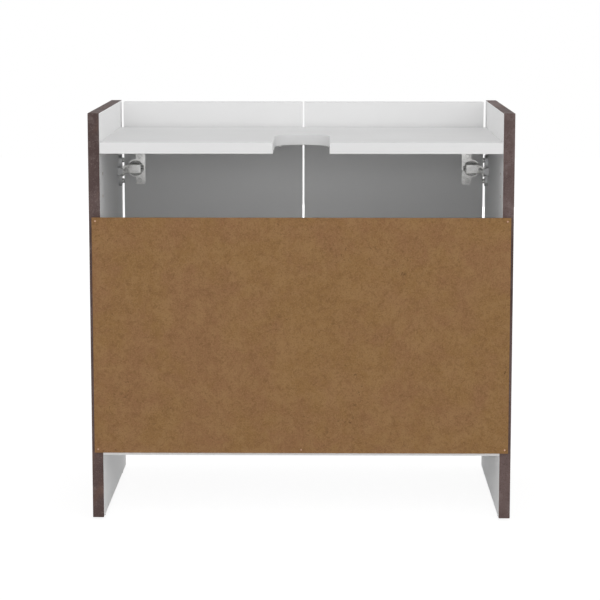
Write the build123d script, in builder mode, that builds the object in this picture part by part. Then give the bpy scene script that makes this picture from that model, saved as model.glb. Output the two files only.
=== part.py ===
"""Washbasin base cabinet with two inset doors on concealed cup hinges.

Millimetres. The front faces -Y, +Z is up, and the origin is the centre of the footprint:
the middle of the whole length from the knobs to the nail heads, on the floor.
Left and right are those of a person who stands in front of the cabinet.
"""
import os

from build123d import *

# ------------------------------------------------------------------ carcass sizes
CABINET_WIDTH = 600.0
CABINET_DEPTH = 330.0
SIDE_HEIGHT = 582.0
BOARD = 16.0
BOARD_ROUND = 0.6
TOP_BOARD_DROP = 41.0
BOTTOM_BOARD_RISE = 92.0
NOTCH_WIDTH = 80.0
NOTCH_DEPTH = 164.0
BACK_THICKNESS = 3.0
BACK_HEIGHT = 339.0
BACK_BOTTOM_INSET = 4.0
BACK_SIDE_INSET = 4.0

# ------------------------------------------------------------------ doors and knobs
DOOR_THICKNESS = 16.0
DOOR_SIDE_GAP = 4.5
DOOR_CENTRE_GAP = 3.0
DOOR_TOP_GAP = 2.0
DOOR_BOTTOM_GAP = 2.0
DOOR_REAR_GAP = 4.0
KNOB_DROP = 66.0
KNOB_EDGE_DISTANCE = 35.0
KNOB_DIAMETER = 26.0
KNOB_FOOT_DIAMETER = 15.0
KNOB_WAIST_DIAMETER = 11.0
KNOB_WAIST = 9.6
KNOB_PROJECTION = 24.0
KNOB_RIM = 5.0
KNOB_ROUND = 1.5
KNOB_THREAD_DEPTH = 10.0
KNOB_SCREW_DIAMETER = 4.0
KNOB_SCREW_HEAD_DIAMETER = 8.0
KNOB_SCREW_HEAD = 2.4

# ------------------------------------------------------------------ joinery and small parts
DOWEL_DIAMETER = 8.0
DOWEL_CHAMFER = 0.8
DOWEL_IN_SIDE = 10.0
DOWEL_IN_BOARD = 20.0
CAM_DIAMETER = 15.0
CAM_DEPTH = 12.5
CAM_DISTANCE = 24.0
CAM_CAVITY = 7.6
CAM_CAVITY_REACH = 13.5
CAM_CROSS = 8.2
CAM_CROSS_WIDTH = 1.8
CAM_CROSS_DEPTH = 1.9
CAM_BOLT_DIAMETER = 5.0
CAM_BOLT_HEAD_DIAMETER = 7.0
CAM_BOLT_HEAD = 3.0
CAM_BOLT_IN_SIDE = 11.0
CAM_BOLT_BORE = 8.0
CAM_SETBACK = 50.0
DOWEL_SETBACK = 82.0
NAIL_DIAMETER = 1.4
NAIL_LENGTH = 14.0
NAIL_HEAD_DIAMETER = 2.4
NAIL_HEAD = 0.4
NAIL_EDGE_DISTANCE = 5.0
GLIDE_DIAMETER = 15.0
GLIDE_HEIGHT = 3.0
GLIDE_ROUND = 1.0
GLIDE_NAIL_DIAMETER = 2.0
GLIDE_NAIL_LENGTH = 12.0
GLIDE_FRONT_SETBACK = 46.0
GLIDE_BACK_SETBACK = 24.0
BUMPER_DIAMETER = 9.0
BUMPER_CLEARANCE = 0.5
BUMPER_EDGE_DISTANCE = 22.0
SCREW_HEAD_ROUND = 0.45  # as a share of the head's height
SCREW_CROSS = 0.55  # as a share of the head's diameter
SCREW_CROSS_WIDTH = 0.25  # as a share of the cross
SCREW_CROSS_DEPTH = 0.6  # as a share of the head's height
HOLE_PITCH = 32.0
SPARE_HOLE_DIAMETER = 5.0
SPARE_HOLE_DEPTH = 12.0
SPARE_HOLE_SETBACK = 42.0

# ------------------------------------------------------------------ hinges
# A hinge's own x runs from the side's inner face inwards, its y from the front backwards,
# and its z along the pivots.
HINGE_TOP_DISTANCE = 105.0
HINGE_BOTTOM_DISTANCE = 105.0
HINGE_CUP_EDGE = 5.0
CUP_DIAMETER = 26.0
CUP_DEPTH = 11.2
CUP_FLOOR = 0.6
CUP_DISH_DEPTH = 2.4
CUP_DISH_WALL = 1.0
CUP_SLOT_LENGTH = 25.0
CUP_POCKET_DEPTH = 9.5
CUP_PIN_HOLD = 2.6
FLANGE = 1.2
FLANGE_RIM = 0.5
FLANGE_RIM_OVERLAP = 1.0
FLANGE_LENGTH = 50.0
FLANGE_REACH = 15.0
FLANGE_CORNER = 3.0
CUP_SCREW_OFFSET = 6.0
CUP_SCREW_SPACING = 38.0
CUP_SCREW_DIAMETER = 3.5
CUP_SCREW_LENGTH = 12.0
CUP_SCREW_HEAD_DIAMETER = 7.0
CUP_SCREW_HEAD = 1.6

OUTER_ARM_PIVOT = (28.8, 26.8)
OUTER_CUP_PIVOT = (15.0, 13.9)
OUTER_LINK_KNEES = ((21.5, 11.6), (28.2, 18.6))
OUTER_LINK_BEND = 3.0
INNER_ARM_PIVOT = (23.4, 10.6)
INNER_CUP_PIVOT = (17.3, 10.4)
INNER_LINK_EYE = (17.55, 10.05)
OUTER_PIN_DIAMETER = 2.0
CUP_STUB_DIAMETER = 1.8
INNER_PIN_DIAMETER = 1.4
CUP_PIN_DIAMETER = 1.4
RUNNING_CLEARANCE = 0.06
OPEN_PIVOT_CLEARANCE = 0.6
OUTER_LINK_WIDTH = 2.6
OUTER_EYE_DIAMETER = 4.6
OUTER_CUP_EYE_DIAMETER = 3.8
INNER_ARM_EYE_DIAMETER = 2.3
INNER_CUP_EYE_DIAMETER = 3.9

INNER_LINK_THICKNESS = 2.8
NOSE_PLATE = 1.1
OUTER_LINK_PLATE = 1.0
LAYER_GAP = 0.1
CHEEK_GAP = 0.2

ARM_WIDTH = 14.4
ARM_WALL = 1.2
ARM_BEND = 1.1
ARM_RISE = 9.6
ARM_BACK = 82.0
ARM_CRANK_BACK = 40.0
ARM_CRANK_REACH = 14.0
ARM_CRANK_FRONT = 27.5
ARM_FOOT_FRONT = 38.0
ARM_END_REACH = 31.2
ARM_END_BACK = 31.5
ARM_END_FRONT = 24.0
ARM_WINDOW_WIDTH = 5.4
ARM_WINDOW_FRONT = 32.6
ARM_WINDOW_BACK = 42.5
NOSE_WIDTH = 2.0
NOSE_BEND = 1.2
NOSE_REACH = 33.5
NOSE_DEPTH = 8.8
NOSE_SHOULDER = 20.5
NOSE_ROOT = 22.0

PLATE_SETBACK = 56.0
PLATE_WING = 5.0
PLATE_WING_LENGTH = 48.0
PLATE_WING_WIDTH = 13.0
PLATE_WING_CORNER = 5.9
PLATE_BLOCK_HEIGHT = 8.0
PLATE_BLOCK_FRONT = 42.0
PLATE_BLOCK_BACK = 79.0
PLATE_BLOCK_CORNER = 2.0
PLATE_SCREW_LENGTH = 14.0
PLATE_SCREW_HEAD_DIAMETER = 7.6
PLATE_SCREW_HEAD = 3.6
ARM_SCREW_SETBACK = 72.0
ADJUSTER_SETBACK = 50.0
ARM_SCREW_DIAMETER = 4.0
ARM_SCREW_HEAD_DIAMETER = 7.4
ARM_SCREW_HEAD = 2.0
ARM_SCREW_LENGTH = 7.0

# ------------------------------------------------------------------ places that follow from the sizes
HALF_INSIDE = CABINET_WIDTH / 2 - BOARD
WHOLE_LENGTH = KNOB_PROJECTION + CABINET_DEPTH + BACK_THICKNESS + NAIL_HEAD
FRONT = KNOB_PROJECTION - WHOLE_LENGTH / 2
REAR = FRONT + CABINET_DEPTH
SIDE_FOOT = GLIDE_HEIGHT
SIDE_TOP = SIDE_FOOT + SIDE_HEIGHT
TOP_UNDERSIDE = SIDE_TOP - TOP_BOARD_DROP - BOARD
BOTTOM_UNDERSIDE = SIDE_FOOT + BOTTOM_BOARD_RISE
BOARD_FRONT = FRONT + DOOR_THICKNESS + DOOR_REAR_GAP
DOOR_WIDTH = HALF_INSIDE - DOOR_SIDE_GAP - DOOR_CENTRE_GAP / 2
DOOR_FOOT = BOTTOM_UNDERSIDE + DOOR_BOTTOM_GAP
DOOR_TOP = SIDE_TOP - DOOR_TOP_GAP
BACK_FOOT = BOTTOM_UNDERSIDE + BACK_BOTTOM_INSET
HINGE_HEIGHTS = {
    "lower": BOTTOM_UNDERSIDE + HINGE_BOTTOM_DISTANCE,
    "upper": SIDE_TOP - HINGE_TOP_DISTANCE,
}
SIDES = {"left": -1, "right": 1}

os.makedirs("parts", exist_ok=True)


def save(name, piece):
    """Label a finished sub-part and write it under its name."""
    piece.part.label = name
    export_step(piece.part, f"parts/{name}.step")


# ------------------------------------------------------------------ joinery
with BuildPart() as dowel:
    with BuildSketch(Plane.YZ.offset(-DOWEL_IN_SIDE)):
        Circle(DOWEL_DIAMETER / 2)
    extrude(amount=DOWEL_IN_SIDE + DOWEL_IN_BOARD)
    chamfer(dowel.edges().filter_by(GeomType.CIRCLE), DOWEL_CHAMFER)

with BuildPart() as cam_bolt:
    with BuildSketch(Plane.XZ) as bolt_profile:
        with Locations(((CAM_DISTANCE - CAM_BOLT_IN_SIDE) / 2, CAM_BOLT_DIAMETER / 4)):
            Rectangle(CAM_DISTANCE + CAM_BOLT_IN_SIDE, CAM_BOLT_DIAMETER / 2)
        with Locations((CAM_BOLT_HEAD / 4, CAM_BOLT_HEAD_DIAMETER / 4)):
            Rectangle(CAM_BOLT_HEAD / 2, CAM_BOLT_HEAD_DIAMETER / 2)
        with Locations((CAM_DISTANCE - CAM_BOLT_HEAD / 2, CAM_BOLT_HEAD_DIAMETER / 4)):
            Rectangle(CAM_BOLT_HEAD, CAM_BOLT_HEAD_DIAMETER / 2)
    revolve(axis=Axis.X)

with BuildPart() as cam_lock:
    with BuildSketch():
        Circle(CAM_DIAMETER / 2)
    extrude(amount=CAM_DEPTH)
    with BuildSketch(Plane.XY.offset(BOARD / 2 - CAM_CAVITY / 2)):
        with Locations((-CAM_DIAMETER / 4, 0)):
            Rectangle(CAM_CAVITY_REACH, CAM_CAVITY)
    extrude(amount=CAM_CAVITY, mode=Mode.SUBTRACT)
    with BuildSketch():
        Rectangle(CAM_CROSS, CAM_CROSS_WIDTH)
        Rectangle(CAM_CROSS_WIDTH, CAM_CROSS)
    extrude(amount=CAM_CROSS_DEPTH, mode=Mode.SUBTRACT)


def board_end_places(underside, setback, height):
    """Frames at the ends of a board, x pointing from the side into the board."""
    places = []
    for side in SIDES.values():
        for y in (BOARD_FRONT + setback, REAR - setback):
            origin = (side * HALF_INSIDE, y, underside + height)
            places.append(Plane(origin, x_dir=(-side, 0, 0), z_dir=(0, 0, 1)).location)
    return places


def at_board_ends(setback, height):
    """The same places on the top board and on the bottom board."""
    top = board_end_places(TOP_UNDERSIDE, setback, height)
    return top + board_end_places(BOTTOM_UNDERSIDE, setback, height)


with BuildPart() as board_dowels:
    with Locations(*at_board_ends(DOWEL_SETBACK, BOARD / 2)):
        add(dowel.part)

with BuildPart() as board_cam_bolts:
    with Locations(*at_board_ends(CAM_SETBACK, BOARD / 2)):
        add(cam_bolt.part)

with BuildPart() as board_cam_locks:
    for place in at_board_ends(CAM_SETBACK, 0):
        with Locations(place):
            with Locations((CAM_DISTANCE, 0, 0)):
                add(cam_lock.part)

# ------------------------------------------------------------------ nails, glides and bumpers
with BuildPart() as nail:
    with BuildSketch(Plane.XY) as nail_profile:
        with Locations((NAIL_DIAMETER / 4, NAIL_HEAD - NAIL_LENGTH / 2)):
            Rectangle(NAIL_DIAMETER / 2, NAIL_LENGTH)
        with Locations((NAIL_HEAD_DIAMETER / 4, NAIL_HEAD / 2)):
            Rectangle(NAIL_HEAD_DIAMETER / 2, NAIL_HEAD)
    revolve(axis=Axis.Y)

nail_x = CABINET_WIDTH / 2 - BACK_SIDE_INSET - NAIL_EDGE_DISTANCE
nail_low = BACK_FOOT + NAIL_EDGE_DISTANCE
nail_high = BACK_FOOT + BACK_HEIGHT - NAIL_EDGE_DISTANCE
nail_y = REAR + BACK_THICKNESS
nail_places = [(x, nail_y, z) for x in (-nail_x, nail_x) for z in (nail_low, nail_high)]

with BuildPart() as back_panel_nails:
    with Locations((0, nail_y, nail_low), *nail_places):
        add(nail.part)

with BuildPart() as glide:
    with BuildSketch(Plane.XZ):
        with BuildLine():
            Polyline(
                (0, 0),
                (GLIDE_DIAMETER / 2, 0),
                (GLIDE_DIAMETER / 2, GLIDE_HEIGHT),
                (GLIDE_NAIL_DIAMETER / 2, GLIDE_HEIGHT),
                (GLIDE_NAIL_DIAMETER / 2, GLIDE_HEIGHT + GLIDE_NAIL_LENGTH),
                (0, GLIDE_HEIGHT + GLIDE_NAIL_LENGTH),
                close=True,
            )
        make_face()
    revolve(axis=Axis.Z)
    fillet(glide.edges().group_by(Axis.Z)[0], GLIDE_ROUND)

glide_x = (CABINET_WIDTH - BOARD) / 2
glide_rows = (FRONT + GLIDE_FRONT_SETBACK, REAR - GLIDE_BACK_SETBACK)

with BuildPart() as foot_glides:
    with Locations(*[(x, y, 0) for x in (-glide_x, glide_x) for y in glide_rows]):
        add(glide.part)

bumper_x = DOOR_CENTRE_GAP / 2 + BUMPER_EDGE_DISTANCE
bumper_heights = (TOP_UNDERSIDE + BOARD / 2, BOTTOM_UNDERSIDE + BOARD / 2)

with BuildPart() as door_bumpers:
    with BuildSketch(Plane.XZ.offset(-BOARD_FRONT)):
        with Locations(*[(x, z) for x in (-bumper_x, bumper_x) for z in bumper_heights]):
            Circle(BUMPER_DIAMETER / 2)
    extrude(amount=DOOR_REAR_GAP - BUMPER_CLEARANCE)
    chamfer(door_bumpers.edges().group_by(Axis.Y)[0], (DOOR_REAR_GAP - BUMPER_CLEARANCE) / 3)


# ------------------------------------------------------------------ hinge pieces, each made once
def flat(distance):
    """A plane parallel to the door at this place along Y; it faces forwards, so depths are negative."""
    return Plane.XZ.offset(-distance)


def make_screw(diameter, length, head_diameter, head):
    """A pan-head screw along -Z whose head stands on the XY plane."""
    cross = head_diameter * SCREW_CROSS
    with BuildPart() as screw:
        with BuildSketch(Plane.XY.offset(-length)):
            Circle(diameter / 2)
        extrude(amount=length)
        with BuildSketch():
            Circle(head_diameter / 2)
        extrude(amount=head)
        fillet(screw.edges().group_by(Axis.Z)[-1], head * SCREW_HEAD_ROUND)
        with BuildSketch(Plane.XY.offset(head)):
            Rectangle(cross, cross * SCREW_CROSS_WIDTH)
            Rectangle(cross * SCREW_CROSS_WIDTH, cross)
        extrude(amount=-head * SCREW_CROSS_DEPTH, mode=Mode.SUBTRACT)
    return screw


cup_x = DOOR_SIDE_GAP + HINGE_CUP_EDGE + CUP_DIAMETER / 2

# How the layers lie along the pivots, from the middle outwards.
nose_inner = INNER_LINK_THICKNESS / 2 + LAYER_GAP
nose_outer = nose_inner + NOSE_PLATE
link_inner = nose_outer + LAYER_GAP
link_outer = link_inner + OUTER_LINK_PLATE
slot_half = link_outer + CHEEK_GAP
cup_pin_reach = slot_half + CUP_PIN_HOLD

with BuildPart() as cup_pins:
    with BuildSketch(Plane.XY.offset(-cup_pin_reach)):
        with Locations(INNER_CUP_PIVOT):
            Circle(CUP_PIN_DIAMETER / 2)
    extrude(amount=2 * cup_pin_reach)
    with BuildSketch(Plane.XY.offset(link_inner)):
        with Locations(OUTER_CUP_PIVOT):
            Circle(CUP_STUB_DIAMETER / 2)
    extrude(amount=cup_pin_reach - link_inner)
    with BuildSketch(Plane.XY.offset(-link_inner)):
        with Locations(OUTER_CUP_PIVOT):
            Circle(CUP_STUB_DIAMETER / 2)
    extrude(amount=link_inner - cup_pin_reach)

with BuildPart() as hinge_cup:
    with BuildSketch(flat(DOOR_THICKNESS - CUP_DEPTH)):
        with Locations((cup_x, 0)):
            Circle(CUP_DIAMETER / 2)
    extrude(amount=-CUP_DEPTH)
    with BuildSketch(flat(DOOR_THICKNESS)):
        with Locations((cup_x, 0)):
            Circle(CUP_DIAMETER / 2 + FLANGE_RIM_OVERLAP)
    extrude(amount=-FLANGE_RIM)
    with BuildSketch(flat(DOOR_THICKNESS)):
        with Locations((cup_x + FLANGE_REACH / 2, 0)):
            RectangleRounded(FLANGE_REACH, FLANGE_LENGTH, FLANGE_CORNER)
        with Locations((cup_x, 0)):
            Circle(CUP_DIAMETER / 2, mode=Mode.SUBTRACT)
    extrude(amount=-FLANGE)
    with BuildSketch(flat(DOOR_THICKNESS + FLANGE_RIM)):
        with Locations((cup_x, 0)):
            Circle(CUP_DIAMETER / 2 - CUP_DISH_WALL)
    extrude(amount=CUP_DISH_DEPTH, mode=Mode.SUBTRACT)
    # a deep pocket on each side of the bridge that holds the pins
    with BuildSketch(flat(DOOR_THICKNESS + FLANGE_RIM)):
        with Locations((cup_x, 0)):
            Circle(CUP_DIAMETER / 2 - CUP_DISH_WALL)
            Rectangle(CUP_DIAMETER, 2 * (cup_pin_reach + CUP_DISH_WALL), mode=Mode.SUBTRACT)
    extrude(amount=CUP_POCKET_DEPTH, mode=Mode.SUBTRACT)
    with BuildSketch(flat(DOOR_THICKNESS + FLANGE)):
        with Locations((cup_x, 0)):
            Rectangle(CUP_SLOT_LENGTH, 2 * slot_half)
    extrude(amount=CUP_DEPTH + FLANGE - CUP_FLOOR, mode=Mode.SUBTRACT)
    add(cup_pins.part, mode=Mode.SUBTRACT)

cup_screw = make_screw(
    CUP_SCREW_DIAMETER, CUP_SCREW_LENGTH, CUP_SCREW_HEAD_DIAMETER, CUP_SCREW_HEAD
)
with BuildPart() as cup_screw_pair:
    for z in (-CUP_SCREW_SPACING / 2, CUP_SCREW_SPACING / 2):
        with Locations(Plane((cup_x + CUP_SCREW_OFFSET, DOOR_THICKNESS + FLANGE, z), z_dir=(0, 1, 0))):
            add(cup_screw.part)

with BuildPart() as inner_link:
    with BuildSketch(Plane.XY.offset(-INNER_LINK_THICKNESS / 2)):
        with BuildSketch(mode=Mode.PRIVATE) as ends:
            with Locations(INNER_ARM_PIVOT):
                Circle(INNER_ARM_EYE_DIAMETER / 2)
            with Locations(INNER_LINK_EYE):
                Circle(INNER_CUP_EYE_DIAMETER / 2)
        make_hull(ends.edges())
        with Locations(INNER_ARM_PIVOT):
            Circle(INNER_PIN_DIAMETER / 2 + RUNNING_CLEARANCE, mode=Mode.SUBTRACT)
        with Locations(INNER_LINK_EYE):
            Circle(CUP_PIN_DIAMETER / 2 + OPEN_PIVOT_CLEARANCE, mode=Mode.SUBTRACT)
    extrude(amount=INNER_LINK_THICKNESS)

with BuildPart() as outer_link:
    for height in (link_inner, -link_outer):
        with BuildSketch(Plane.XY.offset(height)):
            with BuildLine():
                FilletPolyline(
                    OUTER_CUP_PIVOT, *OUTER_LINK_KNEES, OUTER_ARM_PIVOT, radius=OUTER_LINK_BEND
                )
                offset(amount=OUTER_LINK_WIDTH / 2)
            make_face()
            with Locations(OUTER_CUP_PIVOT):
                Circle(OUTER_CUP_EYE_DIAMETER / 2)
                Circle(CUP_STUB_DIAMETER / 2 + RUNNING_CLEARANCE, mode=Mode.SUBTRACT)
            with Locations(OUTER_ARM_PIVOT):
                Circle(OUTER_EYE_DIAMETER / 2)
                Circle(OUTER_PIN_DIAMETER / 2 + RUNNING_CLEARANCE, mode=Mode.SUBTRACT)
        extrude(amount=OUTER_LINK_PLATE)

with BuildPart() as arm_pins:
    with BuildSketch(Plane.XY.offset(-ARM_WIDTH / 2)):
        with Locations(OUTER_ARM_PIVOT):
            Circle(OUTER_PIN_DIAMETER / 2)
    extrude(amount=ARM_WIDTH)
    with BuildSketch(Plane.XY.offset(-nose_outer)):
        with Locations(INNER_ARM_PIVOT):
            Circle(INNER_PIN_DIAMETER / 2)
    extrude(amount=2 * nose_outer)

arm_inside = ARM_WIDTH / 2 - ARM_WALL
hinge_eye_x = OUTER_ARM_PIVOT[0]
arm_back_line = [
    (ARM_RISE, ARM_BACK),
    (ARM_RISE, ARM_CRANK_BACK),
    (ARM_CRANK_REACH, ARM_END_BACK),
    (ARM_END_REACH, ARM_END_BACK),
]
arm_front_line = [
    (ARM_END_REACH, ARM_END_FRONT),
    (hinge_eye_x - OUTER_EYE_DIAMETER / 2, ARM_END_FRONT),
    (ARM_CRANK_REACH, ARM_CRANK_FRONT),
    (PLATE_WING, ARM_FOOT_FRONT),
    (PLATE_WING, ARM_BACK),
]
arm_hollow = [
    *[(x - ARM_WALL, y - ARM_WALL) for x, y in arm_back_line[1:-1]],
    (ARM_END_REACH + ARM_WALL, ARM_END_BACK - ARM_WALL),
    (ARM_END_REACH + ARM_WALL, 0),
    (0, 0),
    (0, ARM_BACK + ARM_WALL),
    (ARM_RISE - ARM_WALL, ARM_BACK + ARM_WALL),
]
nose_line = [
    INNER_ARM_PIVOT,
    (INNER_ARM_PIVOT[0] + INNER_ARM_EYE_DIAMETER, NOSE_DEPTH),
    (NOSE_REACH, NOSE_DEPTH),
    (NOSE_REACH, NOSE_SHOULDER),
    OUTER_ARM_PIVOT,
]

with BuildLine() as arm_back_edge:
    Polyline(*arm_back_line, arm_front_line[0])

with BuildPart() as hinge_arm:
    # the channel over the plate, cranked inwards to its end
    with BuildSketch(Plane.XY.offset(-ARM_WIDTH / 2)):
        with BuildLine():
            Polyline(*arm_back_line, *arm_front_line, close=True)
        make_face()
    extrude(amount=ARM_WIDTH)
    cheek_rims = hinge_arm.edges().group_by(Axis.Z)[0] + hinge_arm.edges().group_by(Axis.Z)[-1]
    bends = [
        rim
        for rim in cheek_rims
        if arm_back_edge.line.distance_to(Vertex(rim.center().X, rim.center().Y)) < LAYER_GAP
    ]
    fillet(bends, ARM_BEND)
    with BuildSketch(Plane.XY.offset(-arm_inside)):
        with BuildLine():
            Polyline(*arm_hollow, close=True)
        make_face()
    extrude(amount=2 * arm_inside, mode=Mode.SUBTRACT)
    # the window over the adjusting screw's slot
    with BuildSketch(Plane.XZ.offset(-ARM_WINDOW_FRONT)):
        with Locations((ARM_CRANK_REACH / 2, 0)):
            Rectangle(ARM_CRANK_REACH, ARM_WINDOW_WIDTH)
    extrude(amount=ARM_WINDOW_FRONT - ARM_WINDOW_BACK, mode=Mode.SUBTRACT)
    # two nose plates that hang under its end and reach into the cup
    for height in (nose_inner, -nose_outer):
        with BuildSketch(Plane.XY.offset(height)):
            with BuildLine():
                FilletPolyline(*nose_line, radius=NOSE_BEND)
                offset(amount=NOSE_WIDTH / 2)
            make_face()
            with Locations(INNER_ARM_PIVOT):
                Circle(INNER_ARM_EYE_DIAMETER / 2)
            with BuildLine():
                Polyline(
                    (NOSE_ROOT, ARM_END_BACK - ARM_WALL / 2),
                    (hinge_eye_x - OUTER_EYE_DIAMETER / 2, ARM_END_FRONT),
                    (ARM_END_REACH, ARM_END_FRONT),
                    (ARM_END_REACH - ARM_WALL, ARM_END_BACK - ARM_WALL / 2),
                    close=True,
                )
            make_face()
        extrude(amount=NOSE_PLATE)
    add(arm_pins.part, mode=Mode.SUBTRACT)

with BuildPart() as mounting_plate:
    # a block under the arm and a wing each way, lying on the side
    with BuildSketch(Plane.YZ):
        with Locations((PLATE_SETBACK, 0)):
            RectangleRounded(PLATE_WING_WIDTH, PLATE_WING_LENGTH, PLATE_WING_CORNER)
        with Locations(((PLATE_BLOCK_FRONT + PLATE_BLOCK_BACK) / 2, 0)):
            RectangleRounded(PLATE_BLOCK_BACK - PLATE_BLOCK_FRONT, ARM_WIDTH, PLATE_BLOCK_CORNER)
    extrude(amount=PLATE_WING)
    with BuildSketch(Plane.YZ.offset(PLATE_WING)):
        with Locations(((PLATE_BLOCK_FRONT + PLATE_BLOCK_BACK) / 2, 0)):
            RectangleRounded(
                PLATE_BLOCK_BACK - PLATE_BLOCK_FRONT,
                2 * (arm_inside - CHEEK_GAP),
                PLATE_BLOCK_CORNER,
            )
    extrude(amount=PLATE_BLOCK_HEIGHT - PLATE_WING)

plate_screw = make_screw(
    SPARE_HOLE_DIAMETER, PLATE_SCREW_LENGTH, PLATE_SCREW_HEAD_DIAMETER, PLATE_SCREW_HEAD
)
arm_screw = make_screw(
    ARM_SCREW_DIAMETER, ARM_SCREW_LENGTH, ARM_SCREW_HEAD_DIAMETER, ARM_SCREW_HEAD
)
with BuildPart() as plate_screw_pair:
    for z in (-HOLE_PITCH / 2, HOLE_PITCH / 2):
        with Locations(Plane((PLATE_WING, PLATE_SETBACK, z), z_dir=(1, 0, 0))):
            add(plate_screw.part)

with BuildPart() as arm_screw_pair:
    for y in (ADJUSTER_SETBACK, ARM_SCREW_SETBACK):
        with Locations(Plane((ARM_RISE, y, 0), z_dir=(1, 0, 0))):
            add(arm_screw.part)

with BuildPart() as drilled_arm:
    add(hinge_arm.part)
    add(arm_screw_pair.part, mode=Mode.SUBTRACT)
with BuildPart() as drilled_plate:
    add(mounting_plate.part)
    add(arm_screw_pair.part, mode=Mode.SUBTRACT)
    add(plate_screw_pair.part, mode=Mode.SUBTRACT)
with BuildPart() as drilled_cup:
    add(hinge_cup.part)
    add(cup_screw_pair.part, mode=Mode.SUBTRACT)


# ------------------------------------------------------------------ the hinges in their places
def hinge_place(side, height):
    """Where a hinge's own frame lies in the cabinet; the right one is the left one turned over."""
    origin = (side * HALF_INSIDE, FRONT, height)
    return Plane(origin, x_dir=(-side, 0, 0), z_dir=(0, 0, -side)).location


def placed(piece, places):
    """One sub-part that holds a copy of a piece at each place."""
    with BuildPart() as copies:
        with Locations(*places):
            add(piece.part)
    return copies


all_places = [hinge_place(side, z) for side in SIDES.values() for z in HINGE_HEIGHTS.values()]

for side_name, side in SIDES.items():
    for row_name, row_height in HINGE_HEIGHTS.items():
        here = [hinge_place(side, row_height)]
        save(f"hinge_cup_{side_name}_{row_name}", placed(drilled_cup, here))
        save(f"hinge_arm_{side_name}_{row_name}", placed(drilled_arm, here))
        save(f"mounting_plate_{side_name}_{row_name}", placed(drilled_plate, here))
        save(f"outer_link_{side_name}_{row_name}", placed(outer_link, here))
        save(f"inner_link_{side_name}_{row_name}", placed(inner_link, here))

arm_pins_all = placed(arm_pins, all_places)
plate_screws = placed(plate_screw_pair, all_places)
arm_screws = placed(arm_screw_pair, all_places)
save("arm_pins", arm_pins_all)
save("plate_screws", plate_screws)
save("arm_screws", arm_screws)


# ------------------------------------------------------------------ knobs and doors
with BuildPart() as knob_screw:
    with BuildSketch(flat(-KNOB_THREAD_DEPTH)):
        Circle(KNOB_SCREW_DIAMETER / 2)
    extrude(amount=-DOOR_THICKNESS - KNOB_THREAD_DEPTH)
    with BuildSketch(flat(DOOR_THICKNESS)):
        Circle(KNOB_SCREW_HEAD_DIAMETER / 2)
    extrude(amount=-KNOB_SCREW_HEAD)
    fillet(knob_screw.edges().group_by(Axis.Y)[-1], KNOB_SCREW_HEAD / 2)

with BuildPart() as knob:
    with BuildSketch(Plane.XY):
        with BuildLine():
            Polyline(
                (0, 0),
                (KNOB_FOOT_DIAMETER / 2, 0),
                (KNOB_FOOT_DIAMETER / 2, -KNOB_ROUND),
            )
            Spline(
                (KNOB_FOOT_DIAMETER / 2, -KNOB_ROUND),
                (KNOB_WAIST_DIAMETER / 2, -KNOB_WAIST),
                (KNOB_DIAMETER / 2, KNOB_RIM - KNOB_PROJECTION),
            )
            Polyline(
                (KNOB_DIAMETER / 2, KNOB_RIM - KNOB_PROJECTION),
                (KNOB_DIAMETER / 2, -KNOB_PROJECTION),
                (0, -KNOB_PROJECTION),
                (0, 0),
            )
        make_face()
    revolve(axis=Axis.Y)
    fillet(knob.edges().group_by(Axis.Y)[0], KNOB_ROUND)
    add(knob_screw.part, mode=Mode.SUBTRACT)

knob_x = DOOR_CENTRE_GAP / 2 + KNOB_EDGE_DISTANCE
knob_z = DOOR_TOP - KNOB_DROP


def make_door(side, cup_screws, screw):
    """A plain board with two blind cup bores, drilled for its screws."""
    middle = side * (DOOR_CENTRE_GAP + DOOR_WIDTH) / 2
    bore_x = side * (HALF_INSIDE - cup_x)
    with BuildPart() as door:
        with BuildSketch(flat(FRONT)):
            with Locations((middle, (DOOR_FOOT + DOOR_TOP) / 2)):
                Rectangle(DOOR_WIDTH, DOOR_TOP - DOOR_FOOT)
        extrude(amount=-DOOR_THICKNESS)
        fillet(door.edges(), BOARD_ROUND)
        with BuildSketch(flat(FRONT + DOOR_THICKNESS)):
            with Locations(*[(bore_x, z) for z in HINGE_HEIGHTS.values()]):
                Circle(CUP_DIAMETER / 2)
        extrude(amount=CUP_DEPTH, mode=Mode.SUBTRACT)
        add(cup_screws.part, mode=Mode.SUBTRACT)
        add(screw.part, mode=Mode.SUBTRACT)
    return door


for side_name, side in SIDES.items():
    own_places = [hinge_place(side, z) for z in HINGE_HEIGHTS.values()]
    knob_place = [Location((side * knob_x, FRONT, knob_z))]
    cup_screws = placed(cup_screw_pair, own_places)
    own_knob_screw = placed(knob_screw, knob_place)
    save(f"cup_screws_{side_name}", cup_screws)
    save(f"cup_pins_{side_name}", placed(cup_pins, own_places))
    save(f"knob_{side_name}", placed(knob, knob_place))
    save(f"knob_screw_{side_name}", own_knob_screw)
    save(f"door_{side_name}", make_door(side, cup_screws, own_knob_screw))


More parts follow.
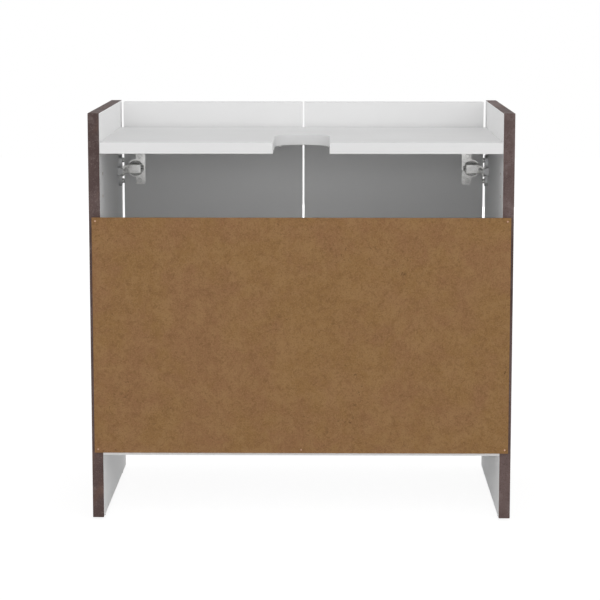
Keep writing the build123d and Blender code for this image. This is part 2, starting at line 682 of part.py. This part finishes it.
# ------------------------------------------------------------------ boards
def make_side(side):
    """A full-depth side, drilled for what is screwed, plugged or nailed into it."""
    with BuildPart() as panel:
        with BuildSketch(Plane.YZ.offset(side * HALF_INSIDE)):
            with Locations((FRONT + CABINET_DEPTH / 2, SIDE_FOOT + SIDE_HEIGHT / 2)):
                Rectangle(CABINET_DEPTH, SIDE_HEIGHT)
        extrude(amount=side * BOARD)
        fillet(panel.edges(), BOARD_ROUND)
        with BuildSketch(Plane.YZ.offset(side * HALF_INSIDE)):
            for centre in HINGE_HEIGHTS.values():
                with Locations((REAR - SPARE_HOLE_SETBACK, centre)):
                    with GridLocations(0, HOLE_PITCH, 1, 2):
                        Circle(SPARE_HOLE_DIAMETER / 2)
        extrude(amount=side * SPARE_HOLE_DEPTH, mode=Mode.SUBTRACT)
        for inserted in (board_dowels, board_cam_bolts, plate_screws, foot_glides):
            add(inserted.part, mode=Mode.SUBTRACT)
        add(back_panel_nails.part, mode=Mode.SUBTRACT)
    return panel


def make_board(underside, notched):
    """A board between the sides, with bores for its dowels, cam bolts and cam locks."""
    middle = (BOARD_FRONT + REAR) / 2
    with BuildPart() as piece:
        with BuildSketch(Plane.XY.offset(underside)):
            with Locations((0, middle)):
                Rectangle(2 * HALF_INSIDE, REAR - BOARD_FRONT)
            if notched:
                with Locations((0, REAR - NOTCH_DEPTH + NOTCH_WIDTH / 2)):
                    Circle(NOTCH_WIDTH / 2, mode=Mode.SUBTRACT)
                with Locations((0, REAR)):
                    Rectangle(NOTCH_WIDTH, 2 * NOTCH_DEPTH - NOTCH_WIDTH, mode=Mode.SUBTRACT)
        extrude(amount=BOARD)
        fillet(piece.edges(), BOARD_ROUND)
        for place in board_end_places(underside, CAM_SETBACK, 0):
            with Locations(place):
                with Locations((CAM_DISTANCE, 0, CAM_DEPTH / 2)):
                    Cylinder(CAM_DIAMETER / 2, CAM_DEPTH, mode=Mode.SUBTRACT)
                with Locations((CAM_DISTANCE / 2, 0, BOARD / 2)):
                    Cylinder(
                        CAM_BOLT_BORE / 2, CAM_DISTANCE, rotation=(0, 90, 0), mode=Mode.SUBTRACT
                    )
        add(board_dowels.part, mode=Mode.SUBTRACT)
        add(back_panel_nails.part, mode=Mode.SUBTRACT)
    return piece


with BuildPart() as back_panel:
    with BuildSketch(flat(REAR)):
        with Locations((0, BACK_FOOT + BACK_HEIGHT / 2)):
            Rectangle(CABINET_WIDTH - 2 * BACK_SIDE_INSET, BACK_HEIGHT)
    extrude(amount=-BACK_THICKNESS)
    add(back_panel_nails.part, mode=Mode.SUBTRACT)

save("back_panel", back_panel)
save("back_panel_nails", back_panel_nails)
save("board_dowels", board_dowels)
save("board_cam_bolts", board_cam_bolts)
save("board_cam_locks", board_cam_locks)
save("foot_glides", foot_glides)
save("door_bumpers", door_bumpers)
save("top_board", make_board(TOP_UNDERSIDE, True))
save("bottom_board", make_board(BOTTOM_UNDERSIDE, False))
for side_name, side in SIDES.items():
    save(f"side_{side_name}", make_side(side))
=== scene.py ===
"""Looks of a washbasin base cabinet, seen from behind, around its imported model. Metres."""

import math

import bpy
from mathutils import Euler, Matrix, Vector


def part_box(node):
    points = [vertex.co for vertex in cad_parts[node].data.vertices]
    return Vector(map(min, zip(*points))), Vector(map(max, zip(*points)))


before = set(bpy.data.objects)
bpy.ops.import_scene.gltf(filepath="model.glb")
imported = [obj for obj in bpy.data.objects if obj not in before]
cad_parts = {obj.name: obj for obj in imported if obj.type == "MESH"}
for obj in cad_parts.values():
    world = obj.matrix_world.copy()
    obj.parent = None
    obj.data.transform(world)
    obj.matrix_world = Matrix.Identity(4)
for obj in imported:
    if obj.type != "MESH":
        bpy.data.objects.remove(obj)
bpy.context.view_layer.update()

# ---------------------------------------------------------------- sizes of the cabinet

side_low, side_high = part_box("side_right")
panel_inside_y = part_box("back_panel")[0].y
cup_face_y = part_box("hinge_cup_left_upper")[1].y

MILLIMETRE = 0.001
FACE_TOLERANCE = 0.05 * MILLIMETRE
BOARD_SKIN = 1.0 * MILLIMETRE
BAND_SEAM = 0.8 * MILLIMETRE
# painted shade: the depths below the cup's face over which the metal in the hinge cups turns
# darker
CUP_SHADE_FROM = 1.5 * MILLIMETRE
CUP_SHADE_TO = 4.0 * MILLIMETRE
GLIDE_WEAR_HEIGHT = 1.8 * MILLIMETRE
FINE_RELIEF = 0.1 * MILLIMETRE
COARSE_RELIEF = 0.2 * MILLIMETRE

# ---------------------------------------------------------------- finishes, linear colours

MELAMINE_WHITE = (0.86, 0.86, 0.86, 1)
BAND_WHITE = (0.80, 0.80, 0.80, 1)
CHIPBOARD = (0.42, 0.29, 0.17, 1)
STONE_DARK = (0.092, 0.062, 0.058, 1)
STONE_MIDDLE = (0.161, 0.115, 0.109, 1)
STONE_LIGHT = (0.285, 0.230, 0.218, 1)
STONE_RUST = (0.185, 0.105, 0.078, 1)
HARDBOARD_OCHRE = (0.288, 0.158, 0.060, 1)
HARDBOARD_RED = (0.286, 0.148, 0.068, 1)
HARDBOARD_LIGHT = (0.365, 0.215, 0.096, 1)
HARDBOARD_DARK = (0.180, 0.090, 0.036, 1)
HARDBOARD_FLECK = (0.095, 0.045, 0.022, 1)
LACQUER_WHITE = (0.76, 0.76, 0.75, 1)
NICKEL = (0.92, 0.915, 0.90, 1)
NICKEL_SHADE = (0.83, 0.825, 0.81, 1)
CUP_NICKEL = (0.90, 0.895, 0.88, 1)
CUP_NICKEL_SHADE = (0.80, 0.795, 0.78, 1)
# painted shade for the metal down in the recess of the hinge cups
CUP_SHADED_INSIDE = (0.50, 0.50, 0.49, 1)
ZINC = (0.74, 0.74, 0.745, 1)
ZINC_SHADE = (0.60, 0.60, 0.61, 1)
COPPER = (0.66, 0.42, 0.30, 1)
COPPER_TARNISH = (0.42, 0.25, 0.17, 1)
STEEL_KNOB = (0.66, 0.66, 0.65, 1)
STEEL_KNOB_SHADE = (0.54, 0.54, 0.53, 1)
BLACK_PLASTIC = (0.035, 0.035, 0.037, 1)
BLACK_PLASTIC_WORN = (0.075, 0.075, 0.078, 1)
BEECH_LIGHT = (0.60, 0.40, 0.22, 1)
BEECH_DARK = (0.44, 0.27, 0.14, 1)
BUMPER_CLEAR = (0.82, 0.85, 0.86, 1)

# ---------------------------------------------------------------- finishes, shares and gloss

BAND_SEAM_SHARE = 0.5
MELAMINE_SPECULAR = 0.10
STONE_SPECULAR = 0.06
HARDBOARD_SPECULAR = 0.12
PLATED_METALLIC = 0.85
BUMPER_TRANSMISSION = 0.55
BUMPER_IOR = 1.45

# ---------------------------------------------------------------- finishes, patterns per metre

MELAMINE_PEARL = {"Scale": 1400.0, "Roughness low": 0.46, "Roughness high": 0.60}
PLASTIC_PEARL = {"Scale": 2200.0, "Roughness low": 0.42, "Roughness high": 0.60}
BUMPER_PEARL = {"Scale": 1800.0, "Roughness low": 0.18, "Roughness high": 0.30}
PEARL_PATCH_SCALE = 14.0
MELAMINE_TONE_SCALE = 5.0
STONE_CLOUDS = {"Large scale": 5.5, "Small scale": 60.0, "Grain scale": 420.0}
STONE_RUST_SCALE = 13.0
STONE_SPECK_SCALE = 480.0
STONE_SECOND_PLACE = (3.1, 1.7, 0.4)
HARDBOARD_CLOUDS = {"Large scale": 14.0, "Small scale": 42.0, "Grain scale": 520.0}
HARDBOARD_FIBRE_SCALE = 260.0
HARDBOARD_MOTTLE_SCALE = 95.0
HARDBOARD_PATCH_SCALE = 17.0
HARDBOARD_CHIP_SCALE = 210.0
HARDBOARD_SECOND_PLACE = (5.3, 2.1, 7.7)
SHEET_GRAIN = {"Grain stretch": (1, 1, 0.15), "Grain scale": 1800.0}
CASTING_GRAIN = {"Grain stretch": (1, 1, 1), "Grain scale": 1400.0}
NAIL_GRAIN = {"Grain stretch": (1, 1, 1), "Grain scale": 900.0}
KNOB_GRAIN = {"Grain stretch": (0.08, 1, 1), "Grain scale": 2600.0}
METAL_STAIN_SCALE = 120.0
GLIDE_SCUFF_SCALE = 900.0
BUMPER_TINT_SCALE = 300.0
BEECH_GRAIN_SCALE = 700.0
BEECH_STRETCH = (0.12, 1.0, 1.0)


# ---------------------------------------------------------------- shader helpers


def feed(tree, node, links):
    """Gives each of these inputs a value or another node's output."""
    for name, value in links.items():
        if isinstance(value, bpy.types.NodeSocket):
            tree.links.new(value, node.inputs[name])
        else:
            node.inputs[name].default_value = value


def add(tree, kind, links, **settings):
    """A shader node with its settings and its inputs."""
    made = tree.nodes.new(kind)
    for name, value in settings.items():
        setattr(made, name, value)
    feed(tree, made, links)
    return made


def sums(tree, operation, *values):
    """The result of a Math node."""
    return add(tree, "ShaderNodeMath", dict(enumerate(values)), operation=operation).outputs[0]


def vector_sums(tree, operation, *values):
    """The result of a Vector Math node."""
    links = dict(enumerate(values))
    return add(tree, "ShaderNodeVectorMath", links, operation=operation).outputs[0]


def axes_of(tree, place):
    """The three coordinates of a place."""
    return add(tree, "ShaderNodeSeparateXYZ", {"Vector": place}).outputs


def mapped(tree, place, **settings):
    """A place after a Mapping node has moved or stretched it."""
    return add(tree, "ShaderNodeMapping", {"Vector": place, **settings}).outputs[0]


def spread(tree, value, span, reach=(0.0, 1.0), ramp="SMOOTHSTEP"):
    """value mapped from its span to a reach."""
    links = {"Value": value, 1: span[0], 2: span[1], 3: reach[0], 4: reach[1]}
    return add(tree, "ShaderNodeMapRange", links, interpolation_type=ramp).outputs[0]


def between(tree, value, low, high):
    """1 where value lies between low and high, and 0 elsewhere."""
    above = sums(tree, "GREATER_THAN", value, low)
    return sums(tree, "MULTIPLY", above, sums(tree, "LESS_THAN", value, high))


def blend_values(tree, factor, first, second):
    """A number between two others."""
    return add(tree, "ShaderNodeMix", {0: factor, 2: first, 3: second}).outputs[0]


def blend_colours(tree, factor, first, second):
    """A colour between two others."""
    links = {0: factor, 6: first, 7: second}
    return add(tree, "ShaderNodeMix", links, data_type="RGBA").outputs[2]


def tint(tree, base, colour, value, span, most=1.0):
    """base turned towards a colour as value goes through its span, by at most a share."""
    return blend_colours(tree, spread(tree, value, span, (0.0, most)), base, colour)


def noise(tree, place, scale, detail=4.0, roughness=0.5, distortion=0.0):
    """The grey value of a Noise Texture at a place."""
    links = {
        "Vector": place,
        "Scale": scale,
        "Detail": detail,
        "Roughness": roughness,
        "Distortion": distortion,
    }
    return add(tree, "ShaderNodeTexNoise", links).outputs[0]


def new_group(name, inputs, outputs):
    """A shader node group, the values that it is given, and the node of its results."""
    group = bpy.data.node_groups.new(name, "ShaderNodeTree")
    for label, kind in inputs.items():
        group.interface.new_socket(label, in_out="INPUT", socket_type=kind)
    for label, kind in outputs.items():
        group.interface.new_socket(label, in_out="OUTPUT", socket_type=kind)
    given = group.nodes.new("NodeGroupInput").outputs
    return group, given, group.nodes.new("NodeGroupOutput")


def use_group(tree, group, links):
    """The results of a group that is placed in a material."""
    return add(tree, "ShaderNodeGroup", links, node_tree=group).outputs


def new_material(name, **sockets):
    """An empty principled material, its node tree, its shader and the place in the cabinet."""
    material = bpy.data.materials.new(name)
    material.use_nodes = True
    tree = material.node_tree
    shader = tree.nodes["Principled BSDF"]
    feed(tree, shader, {label.replace("_", " "): value for label, value in sockets.items()})
    place = tree.nodes.new("ShaderNodeTexCoord").outputs["Object"]
    return material, tree, shader, place


def surface(tree, shader, colour, roughness, height, strength, distance=FINE_RELIEF):
    """Gives the shader a colour, a roughness and a relief that change over the surface."""
    relief = {"Height": height, "Strength": strength, "Distance": distance}
    normal = add(tree, "ShaderNodeBump", relief).outputs[0]
    feed(tree, shader, {"Base Color": colour, "Roughness": roughness, "Normal": normal})


# ---------------------------------------------------------------- shared effects

FLOAT = "NodeSocketFloat"
VECTOR = "NodeSocketVector"
COLOUR = "NodeSocketColor"


def make_clouds():
    """Soft blotches of two sizes and fine grain, for pressed board and printed stone."""
    inputs = {"Place": VECTOR, "Large scale": FLOAT, "Small scale": FLOAT, "Grain scale": FLOAT}
    outputs = {"Large": FLOAT, "Small": FLOAT, "Grain": FLOAT}
    group, given, end = new_group("clouds", inputs, outputs)
    place = given["Place"]
    large = noise(group, place, given["Large scale"], detail=5.0, roughness=0.62, distortion=0.25)
    small = noise(group, place, given["Small scale"], detail=6.0, roughness=0.65, distortion=0.4)
    grain = noise(group, place, given["Grain scale"], detail=3.0, roughness=0.6)
    feed(group, end, {"Large": large, "Small": small, "Grain": grain})
    return group


def make_pearl():
    """The very fine orange-peel relief of pressed melamine and moulded plastic."""
    inputs = {"Place": VECTOR, "Scale": FLOAT, "Roughness low": FLOAT, "Roughness high": FLOAT}
    outputs = {"Height": FLOAT, "Roughness": FLOAT}
    group, given, end = new_group("pearl", inputs, outputs)
    fine = noise(group, given["Place"], given["Scale"], detail=2.0)
    patches = noise(group, given["Place"], PEARL_PATCH_SCALE, detail=3.0)
    limits = (given["Roughness low"], given["Roughness high"])
    roughness = spread(group, patches, span=(0.35, 0.65), reach=limits, ramp="LINEAR")
    feed(group, end, {"Height": fine, "Roughness": roughness})
    return group


def make_box_rim():
    """How near a point is to an edge of a board, from 0 on its faces to 1 on the edge."""
    inputs = {"Place": VECTOR, "Centre": VECTOR, "Half size": VECTOR, "Width": FLOAT}
    group, given, end = new_group("box rim", inputs, {"Rim": FLOAT})
    offset = vector_sums(group, "SUBTRACT", given["Place"], given["Centre"])
    extent = vector_sums(group, "ABSOLUTE", offset)
    x, y, z = axes_of(group, vector_sums(group, "SUBTRACT", given["Half size"], extent))
    # on an edge two of these three depths are 0, so the middle one is the distance to it
    smaller = sums(group, "MINIMUM", x, y)
    larger = sums(group, "MAXIMUM", x, y)
    middle = sums(group, "MAXIMUM", smaller, sums(group, "MINIMUM", larger, z))
    widths = sums(group, "DIVIDE", middle, given["Width"])
    feed(group, end, {"Rim": spread(group, widths, span=(1.0, 0.6), ramp="LINEAR")})
    return group


def make_metal_wear():
    """Fine lines of a plated or brushed metal along one direction, with faint stains."""
    inputs = {
        "Place": VECTOR,
        "Grain stretch": VECTOR,
        "Grain scale": FLOAT,
        "Light": COLOUR,
        "Shade": COLOUR,
        "Roughness low": FLOAT,
        "Roughness high": FLOAT,
    }
    outputs = {"Color": COLOUR, "Roughness": FLOAT, "Height": FLOAT}
    group, given, end = new_group("metal wear", inputs, outputs)
    stretched = vector_sums(group, "MULTIPLY", given["Place"], given["Grain stretch"])
    lines = noise(group, stretched, given["Grain scale"], detail=3.0, roughness=0.6)
    stains = noise(group, given["Place"], METAL_STAIN_SCALE, roughness=0.6)
    colour = tint(group, given["Light"], given["Shade"], stains, span=(0.35, 0.75))
    mixed = sums(group, "MULTIPLY", sums(group, "ADD", lines, stains), 0.5)
    limits = (given["Roughness low"], given["Roughness high"])
    roughness = spread(group, mixed, span=(0.35, 0.65), reach=limits, ramp="LINEAR")
    feed(group, end, {"Color": colour, "Roughness": roughness, "Height": lines})
    return group


clouds = make_clouds()
pearl = make_pearl()
box_rim = make_box_rim()
metal_wear = make_metal_wear()


# ---------------------------------------------------------------- finishes of the pieces


def melamine_board(node):
    """White melamine on board, with the hairline of its edge bands."""
    material, tree, shader, place = new_material(
        "melamine_" + node, Specular_IOR_Level=MELAMINE_SPECULAR
    )
    low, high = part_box(node)
    outline = {"Centre": (low + high) / 2, "Half size": (high - low) / 2, "Width": BAND_SEAM}
    rim = use_group(tree, box_rim, {"Place": place, **outline})["Rim"]
    skin = use_group(tree, pearl, {"Place": place, **MELAMINE_PEARL})
    tone = noise(tree, place, MELAMINE_TONE_SCALE, detail=3.0)
    white = tint(tree, MELAMINE_WHITE, BAND_WHITE, tone, span=(0.3, 0.7), most=0.35)
    seam = sums(tree, "MULTIPLY", rim, BAND_SEAM_SHARE)
    colour = blend_colours(tree, seam, white, BAND_WHITE)
    surface(tree, shader, colour, skin["Roughness"], skin["Height"], strength=0.12)
    return material


def side_masks(tree, place):
    """Masks of a side panel: its white inner face, and the cut board inside its drilled holes."""
    x, y, z = axes_of(tree, place)
    outwards = sums(tree, "ABSOLUTE", x)
    inner = side_low.x + FACE_TOLERANCE
    outer = side_high.x - FACE_TOLERANCE
    white = sums(tree, "LESS_THAN", outwards, inner)
    inside_x = between(tree, outwards, inner, outer)
    inside_y = between(tree, y, side_low.y + BOARD_SKIN, side_high.y - BOARD_SKIN)
    inside_z = between(tree, z, side_low.z + BOARD_SKIN, side_high.z - BOARD_SKIN)
    bore = sums(tree, "MULTIPLY", inside_x, sums(tree, "MULTIPLY", inside_y, inside_z))
    return white, bore


def stone_side():
    """Brown concrete-look laminate outside and on the edges, white melamine on the inner face."""
    material, tree, shader, place = new_material(
        "stone_and_white", Specular_IOR_Level=STONE_SPECULAR
    )
    cloud = use_group(tree, clouds, {"Place": place, **STONE_CLOUDS})
    second_place = mapped(tree, place, Location=STONE_SECOND_PLACE)
    rust = noise(tree, second_place, STONE_RUST_SCALE, detail=5.0, roughness=0.6, distortion=0.6)
    specks = noise(tree, second_place, STONE_SPECK_SCALE, roughness=0.7, distortion=0.5)
    stone = tint(tree, STONE_DARK, STONE_MIDDLE, cloud["Large"], span=(0.36, 0.62))
    stone = tint(tree, stone, STONE_LIGHT, cloud["Small"], span=(0.50, 0.68), most=0.30)
    stone = tint(tree, stone, STONE_RUST, rust, span=(0.52, 0.72), most=0.50)
    stone = tint(tree, stone, STONE_DARK, cloud["Grain"], span=(0.54, 0.66), most=0.65)
    stone = tint(tree, stone, STONE_LIGHT, specks, span=(0.54, 0.66), most=0.35)
    stone_roughness = spread(tree, cloud["Small"], span=(0.35, 0.70), reach=(0.50, 0.68))

    white, bore = side_masks(tree, place)
    skin = use_group(tree, pearl, {"Place": place, **MELAMINE_PEARL})
    faces = blend_colours(tree, white, stone, MELAMINE_WHITE)
    colour = blend_colours(tree, bore, faces, CHIPBOARD)
    roughness = blend_values(tree, white, stone_roughness, skin["Roughness"])
    height = blend_values(tree, white, cloud["Grain"], skin["Height"])
    surface(tree, shader, colour, roughness, height, strength=0.15, distance=COARSE_RELIEF)
    return material


def hardboard():
    """Raw brown hardboard behind and on the edges, white lacquer on the face inside."""
    material, tree, shader, place = new_material(
        "hardboard", Specular_IOR_Level=HARDBOARD_SPECULAR
    )
    cloud = use_group(tree, clouds, {"Place": place, **HARDBOARD_CLOUDS})
    fibre = noise(tree, place, HARDBOARD_FIBRE_SCALE, detail=5.0, roughness=0.75, distortion=1.6)
    mottle = noise(tree, place, HARDBOARD_MOTTLE_SCALE, roughness=0.6, distortion=0.8)
    brown = tint(tree, HARDBOARD_OCHRE, HARDBOARD_RED, cloud["Large"], span=(0.38, 0.62))
    brown = tint(tree, brown, HARDBOARD_LIGHT, cloud["Small"], span=(0.42, 0.66), most=0.50)
    brown = tint(tree, brown, HARDBOARD_DARK, fibre, span=(0.46, 0.62), most=0.50)
    brown = tint(tree, brown, HARDBOARD_DARK, mottle, span=(0.50, 0.64), most=0.30)
    brown = tint(tree, brown, HARDBOARD_LIGHT, cloud["Grain"], span=(0.48, 0.64), most=0.42)

    # dark chips lie scattered in patches
    second_place = mapped(tree, place, Location=HARDBOARD_SECOND_PLACE)
    patches = noise(tree, second_place, HARDBOARD_PATCH_SCALE, detail=3.0, roughness=0.55)
    chips = noise(tree, second_place, HARDBOARD_CHIP_SCALE, roughness=0.7, distortion=0.8)
    density = spread(tree, patches, span=(0.50, 0.66), reach=(0.0, 0.85))
    flecks = sums(tree, "MULTIPLY", density, spread(tree, chips, span=(0.58, 0.72)))
    brown = blend_colours(tree, flecks, brown, HARDBOARD_FLECK)

    inside = sums(tree, "LESS_THAN", axes_of(tree, place)[1], panel_inside_y + FACE_TOLERANCE)
    colour = blend_colours(tree, inside, brown, LACQUER_WHITE)
    roughness = spread(tree, cloud["Small"], span=(0.30, 0.70), reach=(0.55, 0.72))
    surface(tree, shader, colour, roughness, fibre, strength=0.2, distance=COARSE_RELIEF)
    return material


def metal(name, light, shade, roughness, grain, relief, metallic=1.0, inside=None):
    """A plated, cast or brushed metal; inside is a darker colour painted down in the hinge cups
    as their shade.
    """
    material, tree, shader, place = new_material(name, Metallic=metallic)
    limits = {"Roughness low": roughness[0], "Roughness high": roughness[1]}
    links = {"Place": place, "Light": light, "Shade": shade, **limits, **grain}
    wear = use_group(tree, metal_wear, links)
    colour = wear["Color"]
    # painted shade: the cup's metal turns darker with depth down in the recess
    if inside:
        span = (cup_face_y - CUP_SHADE_FROM, cup_face_y - CUP_SHADE_TO)
        colour = tint(tree, colour, inside, axes_of(tree, place)[1], span)
    surface(tree, shader, colour, wear["Roughness"], wear["Height"], strength=relief)
    return material


def black_plastic():
    """Moulded black plastic, a little scuffed where it meets the floor."""
    material, tree, shader, place = new_material("moulded_black")
    skin = use_group(tree, pearl, {"Place": place, **PLASTIC_PEARL})
    height = axes_of(tree, place)[2]
    worn = spread(tree, height, span=(GLIDE_WEAR_HEIGHT, 0.0), reach=(0.0, 0.7))
    scratches = noise(tree, place, GLIDE_SCUFF_SCALE, detail=3.0, roughness=0.6)
    scuffs = sums(tree, "MULTIPLY", worn, scratches)
    colour = blend_colours(tree, scuffs, BLACK_PLASTIC, BLACK_PLASTIC_WORN)
    surface(tree, shader, colour, skin["Roughness"], skin["Height"], strength=0.2)
    return material


def clear_bumper():
    """Soft clear plastic of the door bumpers."""
    material, tree, shader, place = new_material(
        "clear_bumper", Transmission_Weight=BUMPER_TRANSMISSION, IOR=BUMPER_IOR
    )
    skin = use_group(tree, pearl, {"Place": place, **BUMPER_PEARL})
    haze = noise(tree, place, BUMPER_TINT_SCALE, detail=2.0)
    colour = tint(tree, BUMPER_CLEAR, BAND_WHITE, haze, span=(0.3, 0.7), most=0.4)
    surface(tree, shader, colour, skin["Roughness"], skin["Height"], strength=0.1)
    return material


def beech():
    """Raw beech of the dowels."""
    material, tree, shader, place = new_material("beech")
    along = mapped(tree, place, Scale=BEECH_STRETCH)
    grain = noise(tree, along, BEECH_GRAIN_SCALE, roughness=0.6)
    colour = tint(tree, BEECH_LIGHT, BEECH_DARK, grain, span=(0.35, 0.65))
    roughness = spread(tree, grain, span=(0.3, 0.7), reach=(0.6, 0.8))
    surface(tree, shader, colour, roughness, grain, strength=0.2)
    return material


# ---------------------------------------------------------------- dressing the pieces


def dress(material, *nodes):
    """Gives each of these nodes one material."""
    for name in nodes:
        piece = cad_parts[name]
        piece.data.materials.clear()
        piece.data.materials.append(material)


def beginning(*prefixes):
    """The names of the nodes that begin with one of these."""
    return [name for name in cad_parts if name.startswith(prefixes)]


plated = metal(
    "plated_steel",
    NICKEL,
    NICKEL_SHADE,
    roughness=(0.14, 0.24),
    grain=SHEET_GRAIN,
    relief=0.05,
    metallic=PLATED_METALLIC,
)
pressed = metal(
    "pressed_steel",
    CUP_NICKEL,
    CUP_NICKEL_SHADE,
    roughness=(0.20, 0.32),
    grain=SHEET_GRAIN,
    relief=0.05,
    inside=CUP_SHADED_INSIDE,
)
cast = metal(
    "plated_casting", ZINC, ZINC_SHADE, roughness=(0.24, 0.36), grain=CASTING_GRAIN, relief=0.12
)
coppered = metal(
    "coppered_nail", COPPER, COPPER_TARNISH, roughness=(0.30, 0.50), grain=NAIL_GRAIN, relief=0.2
)
brushed = metal(
    "brushed_knob",
    STEEL_KNOB,
    STEEL_KNOB_SHADE,
    roughness=(0.24, 0.38),
    grain=KNOB_GRAIN,
    relief=0.12,
)

dress(stone_side(), "side_left", "side_right")
dress(hardboard(), "back_panel")
for board in ("top_board", "bottom_board", "door_left", "door_right"):
    dress(melamine_board(board), board)
dress(plated, *beginning("hinge_arm", "inner_link", "outer_link", "cup_pins", "arm_pins"))
dress(plated, *beginning("cup_screws", "arm_screws", "plate_screws", "knob_screw"))
dress(plated, "board_cam_bolts")
dress(pressed, *beginning("hinge_cup"))
dress(cast, *beginning("mounting_plate"), "board_cam_locks")
dress(coppered, "back_panel_nails")
dress(brushed, "knob_left", "knob_right")
dress(black_plastic(), "foot_glides")
dress(clear_bumper(), "door_bumpers")
dress(beech(), "board_dowels")

# ---------------------------------------------------------------- floor and surround

SKY_WHITE = (1, 1, 1, 1)
FLOOR_SIZE = 12.0
FLOOR_GREY = (0.76, 0.76, 0.76, 1)

# the floor as seen: its grey takes the shadow, and its glow brings it to white in this light
SHADOW_SHARE = 0.22
SHADOW_GREY = (SHADOW_SHARE, SHADOW_SHARE, SHADOW_SHARE, 1)
LIGHT_ON_FLOOR = 0.5

# the surround's light, and the span of its direction's y, x or z over which each part changes
LIGHT_BEHIND = 1.00
LIGHT_IN_FRONT = 0.34
FRONT_TO_BEHIND = (-0.95, 0.1)
SIDE_SHARE = 1.25
MIDDLE_TO_SIDE_SQUARED = (0.1, 0.8)
RIGHT_SHARE = 1.12
LEFT_TO_RIGHT = (0.9, -0.9)
ZENITH_SHARE = 0.50
LEVEL_TO_ZENITH = (0.35, 1.0)
KEY_BEHIND = 0.55
KEY_EDGE_TO_MIDDLE = (0.80, 0.98)


def shows_white(tree):
    """1 for the rays that meet the background directly, in metal or through clear plastic."""
    rays = tree.nodes.new("ShaderNodeLightPath").outputs
    mirrored = sums(tree, "MAXIMUM", rays["Is Camera Ray"], rays["Is Glossy Ray"])
    return sums(tree, "MAXIMUM", mirrored, rays["Is Transmission Ray"])


def make_floor():
    """A white floor that keeps a faint shadow of the cabinet."""
    bpy.ops.mesh.primitive_plane_add(size=FLOOR_SIZE, location=(0, 0, 0))
    floor = bpy.context.object
    floor.name = "floor"
    material = bpy.data.materials.new("white_floor")
    material.use_nodes = True
    tree = material.node_tree
    seen = shows_white(tree)
    links = {
        "Roughness": 1.0,
        "Specular IOR Level": 0.0,
        "Emission Color": SKY_WHITE,
        "Base Color": blend_colours(tree, seen, FLOOR_GREY, SHADOW_GREY),
        "Emission Strength": sums(tree, "MULTIPLY", seen, 1.0 - LIGHT_ON_FLOOR * SHADOW_SHARE),
    }
    feed(tree, tree.nodes["Principled BSDF"], links)
    floor.data.materials.append(material)


def make_world():
    """A white surround that lights the cabinet most from behind and least from the front."""
    world = bpy.data.worlds.new("surround")
    bpy.context.scene.world = world
    world.use_nodes = True
    tree = world.node_tree
    x, y, z = axes_of(tree, tree.nodes.new("ShaderNodeTexCoord").outputs["Generated"])
    around = spread(tree, y, FRONT_TO_BEHIND, (LIGHT_IN_FRONT, LIGHT_BEHIND))
    squared = sums(tree, "MULTIPLY", x, x)
    sides = spread(tree, squared, MIDDLE_TO_SIDE_SQUARED, (1.0, SIDE_SHARE))
    right = spread(tree, x, LEFT_TO_RIGHT, (1.0, RIGHT_SHARE))
    overhead = spread(tree, z, LEVEL_TO_ZENITH, (1.0, ZENITH_SHARE))
    key = spread(tree, y, KEY_EDGE_TO_MIDDLE, (0.0, KEY_BEHIND))
    sideways = sums(tree, "MULTIPLY", sides, right)
    surround = sums(tree, "MULTIPLY", sums(tree, "MULTIPLY", around, sideways), overhead)
    light = sums(tree, "ADD", surround, key)
    strength = blend_values(tree, shows_white(tree), light, 1.0)
    feed(tree, tree.nodes["Background"], {"Color": SKY_WHITE, "Strength": strength})


make_floor()
make_world()

# ---------------------------------------------------------------- lamp and camera

LAMP_PLACE = (-0.5, -4.0, 0.6)
LAMP_TARGET = (0, 0, 0.35)
LAMP_SIZE = 1.5
LAMP_POWER = 44.0
CAMERA_PLACE = (-0.0322, 3.0674, 0.7655)
CAMERA_PITCH = math.radians(7.915)
CAMERA_YAW = math.radians(0.671)
CAMERA_LENS = 123.74
CAMERA_SENSOR = 36.0
CAMERA_SHIFT = -0.05


def add_lamp():
    """A square soft lamp in front of the doors, which leaves no reflection of itself."""
    data = bpy.data.lights.new("lamp_front", "AREA")
    data.shape = "SQUARE"
    data.size = LAMP_SIZE
    data.energy = LAMP_POWER
    lamp = bpy.data.objects.new("lamp_front", data)
    bpy.context.scene.collection.objects.link(lamp)
    aim = Vector(LAMP_TARGET) - Vector(LAMP_PLACE)
    lamp.location = LAMP_PLACE
    lamp.rotation_euler = aim.to_track_quat("-Z", "Y").to_euler()
    lamp.visible_glossy = False


def make_camera():
    """The photograph's point of view, behind the cabinet and a little above it."""
    data = bpy.data.cameras.new("camera")
    data.lens = CAMERA_LENS
    data.sensor_width = CAMERA_SENSOR
    data.shift_y = CAMERA_SHIFT
    camera = bpy.data.objects.new("camera", data)
    bpy.context.scene.collection.objects.link(camera)
    camera.location = CAMERA_PLACE
    camera.rotation_euler = Euler((math.pi / 2 - CAMERA_PITCH, 0, math.pi + CAMERA_YAW), "XYZ")
    bpy.context.scene.camera = camera


add_lamp()
make_camera()

bpy.context.scene.view_settings.view_transform = "Standard"
